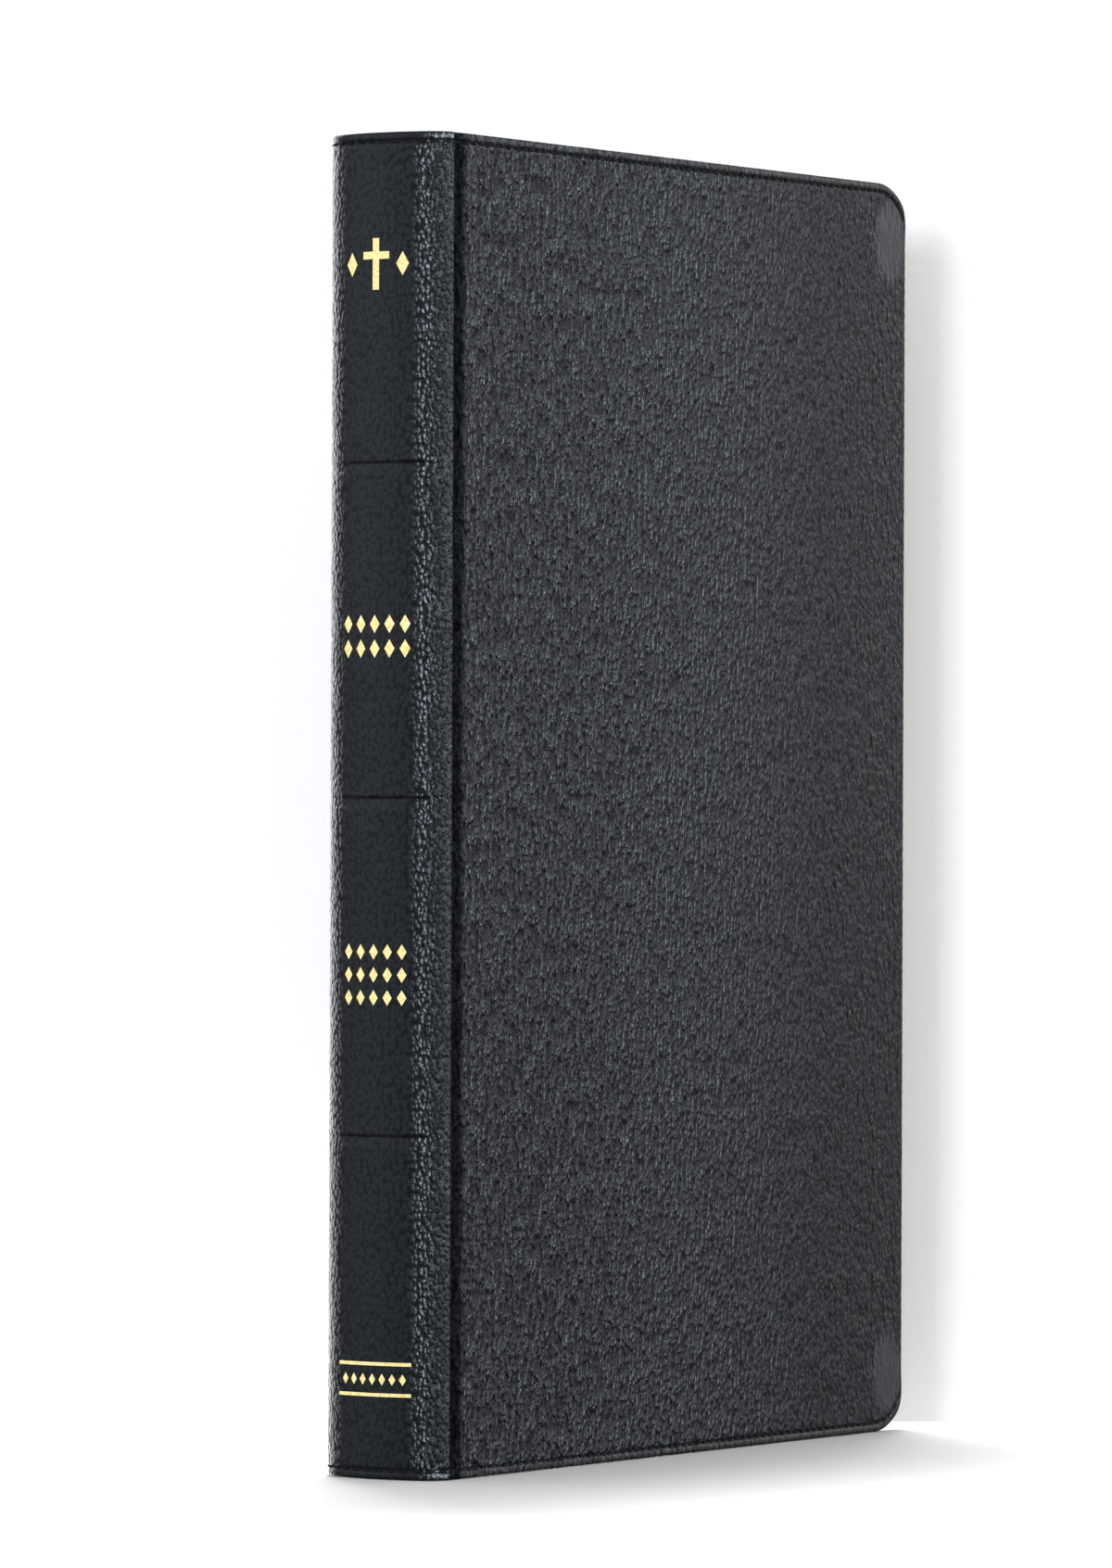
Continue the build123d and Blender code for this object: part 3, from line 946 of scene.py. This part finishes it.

# ---------------------------------------------------------------------------
# The endpapers: black laid paper, one leaf pasted inside each cover and one left
# free beside the pages, cut in narrow strips just past the gutter.
# ---------------------------------------------------------------------------
endpaper, end_tree, end_shader = new_material("black_endpaper")
end_place = end_tree.nodes.new("ShaderNodeTexCoord")
end_fibre = texture(end_tree, "ShaderNodeTexNoise", end_place.outputs["Object"], 900, Detail=6)
end_laid = texture(
    end_tree, "ShaderNodeTexWave", end_place.outputs["Object"], 180,
    bands_direction="Z", Distortion=0.4,
)
end_dark, end_light = (0.006, 0.006, 0.007, 1), (0.017, 0.017, 0.018, 1)
end_colour = blended(end_tree, end_fibre.outputs["Fac"], end_dark, end_light)
end_tree.links.new(end_colour, end_shader.inputs["Base Color"])
end_shader.inputs["Roughness"].default_value = 0.7
end_height = socket_maths(
    end_tree, "MULTIPLY_ADD", end_laid.outputs["Fac"], 0.4, end_fibre.outputs["Fac"],
)
bumped(end_tree, end_shader, end_height, 0.03 * mm)
paper_root = gutter_y + inner_bend
paper_bend = 6 * mm
liner_thick = 0.5 * mm
lining_out = skin + liner_thick
lining_in = 3.05 * mm
paste_gap = 0.29 * mm
sheet_thick = 0.27 * mm
for side, way in (("front", 1), ("back", -1)):
    flyleaf = leaves(
        f"{side}_free_endpaper", f"{side}_flyleaf", paper_root, high.y,
        steps(paper_root, paper_root + paper_bend, 0.5 * mm)[1:], [endpaper, endpaper],
    )
    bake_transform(flyleaf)
    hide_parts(f"{side}_flyleaf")

    # The pastedown follows the leather's inside, and its fore-edge rolls with it
    bm = bmesh.new()
    fore_end = fore_s - lining_in
    foot, head = lining_in, high.z - lining_in
    sheet_corners = [(cover_s, foot), (fore_end, foot), (fore_end, head), (cover_s, head)]
    corners = [bm.verts.new((s, z, -lining_out - paste_gap)) for s, z in sheet_corners]
    bm.faces.new(corners)
    bmesh.ops.bevel(
        bm, geom=corners[1:3], offset=corner_radius - lining_in, offset_type="OFFSET",
        segments=8, profile=0.5, material=-1, affect="VERTICES",
    )
    rolled = [s for s in roll_columns[1:] if s < fore_end]
    cut(bm, 0, bend_columns[1:] + cover_columns[1:] + rolled)
    thicken(bm, (0, 0, sheet_thick))
    bmesh.ops.scale(bm, verts=bm.verts, vec=(way, 1, 1))
    bmesh.ops.recalc_face_normals(bm, faces=bm.faces)
    wrap_all(bm)
    pastedown = finish_mesh(bm, f"{side}_pasted_endpaper", [endpaper], smooth=False)
    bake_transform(pastedown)
    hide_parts(f"{side}_cover_lining")

# ---------------------------------------------------------------------------
# Inside the spine: liner board, kraft lining, mull, tapes and the folded backs of
# the sections, glued up in that order. Most of it only shows from the head.
# ---------------------------------------------------------------------------
def plain_stuff(name, dark, light, scale, rough, lift):
    """A dull material with a fine fibre of two tones."""
    material, tree, shader = new_material(name)
    place = tree.nodes.new("ShaderNodeTexCoord")
    fibre = texture(
        tree, "ShaderNodeTexNoise", place.outputs["Object"], scale, Detail=5, Roughness=0.65,
    )
    tone = blended(tree, fibre.outputs["Fac"], (*dark, 1), (*light, 1))
    tree.links.new(tone, shader.inputs["Base Color"])
    shader.inputs["Roughness"].default_value = rough
    bumped(tree, shader, fibre.outputs["Fac"], lift)
    return material


liner_board = plain_stuff(
    "liner_board", (0.20, 0.18, 0.15), (0.42, 0.38, 0.31), 900, 0.85, 0.03 * mm,
)
kraft = plain_stuff(
    "kraft_paper", (0.24, 0.15, 0.08), (0.42, 0.29, 0.17), 1200, 0.8, 0.02 * mm,
)
mull_cloth = plain_stuff(
    "mull_cloth", (0.45, 0.43, 0.38), (0.75, 0.72, 0.66), 2600, 0.9, 0.05 * mm,
)
linen_tape = plain_stuff(
    "linen_tape", (0.50, 0.46, 0.37), (0.72, 0.68, 0.57), 3200, 0.9, 0.05 * mm,
)
inner_looks = {
    "spine_inlay": liner_board,
    "front_cover_liner": liner_board,
    "back_cover_liner": liner_board,
    "spine_kraft_lining": kraft,
    "spine_mull": mull_cloth,
    "sewing_tapes": linen_tape,
    "section_folds": gilt_edge,
}
for node, material in inner_looks.items():
    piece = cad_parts[node]
    piece.data.materials.clear()
    piece.data.materials.append(material)

# ---------------------------------------------------------------------------
# The head and tail bands: a cord rolled in two colours of silk, glued across the
# folds at the head and tail.
# ---------------------------------------------------------------------------
band_silk, silk_tree, silk_shader = new_material("striped_band_silk")
silk_uv = silk_tree.nodes.new("ShaderNodeUVMap")
silk_uv.uv_map = "band"
silk_place = silk_tree.nodes.new("ShaderNodeSeparateXYZ")
silk_tree.links.new(silk_uv.outputs["UV"], silk_place.inputs["Vector"])
silk_run = silk_place.outputs["X"]
stripe_pitch = 1.9 * mm
cord_pitch = 0.32 * mm
band_inset = 2.5 * mm
stripe = socket_maths(silk_tree, "DIVIDE", silk_run, stripe_pitch)
stripe = socket_maths(silk_tree, "GREATER_THAN", socket_maths(silk_tree, "FRACT", stripe), 0.5)
silk_colour = blended(silk_tree, stripe, (0.02, 0.02, 0.022, 1), (0.62, 0.47, 0.20, 1))
silk_tree.links.new(silk_colour, silk_shader.inputs["Base Color"])
silk_shader.inputs["Roughness"].default_value = 0.5
silk_phase = socket_maths(silk_tree, "MULTIPLY", silk_run, 2 * math.pi / cord_pitch)
silk_cord = socket_maths(silk_tree, "SINE", silk_phase)
bumped(silk_tree, silk_shader, silk_cord, 0.05 * mm)
for end, node, way in (("head", "head_band", 1), ("tail", "tail_band", -1)):
    (x0, y0, z0), (x1, y1, z1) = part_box(node)
    thick = (z1 - z0) / 2
    reach = math.asin(x1 / (crown_radius - band_inset))
    centre = Vector((0, apex_y + crown_radius, 0))
    bm = bmesh.new()
    cord_radius = thick * 0.95
    ring = bmesh.ops.create_circle(bm, segments=14, radius=cord_radius, cap_ends=False)["verts"]
    bmesh.ops.rotate(bm, verts=ring, cent=(0, 0, 0), matrix=Matrix.Rotation(math.pi / 2, 3, "Y"))
    bmesh.ops.translate(bm, verts=ring, vec=(0, y0 + thick, (z0 + z1) / 2))
    bmesh.ops.rotate(bm, verts=ring, cent=centre, matrix=Matrix.Rotation(-reach, 3, "Z"))
    bmesh.ops.spin(
        bm, geom=bm.verts[:] + bm.edges[:], cent=centre, axis=(0, 0, 1), dvec=(0, 0, 0),
        angle=2 * reach, steps=40, use_merge=False, use_normal_flip=False, use_duplicate=False,
    )
    bmesh.ops.holes_fill(bm, edges=[e for e in bm.edges if e.is_boundary], sides=0)
    bmesh.ops.remove_doubles(bm, verts=bm.verts, dist=1e-6)
    bmesh.ops.recalc_face_normals(bm, faces=bm.faces)
    band_uv = bm.loops.layers.uv.new("band")
    for face in bm.faces:
        for loop in face.loops:
            place = loop.vert.co - centre
            loop[band_uv].uv = (math.atan2(place.x, -place.y) * crown_radius, place.z)
    woven = finish_mesh(bm, f"{end}_woven_band", [band_silk])
    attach(woven, "spine")
    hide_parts(node)
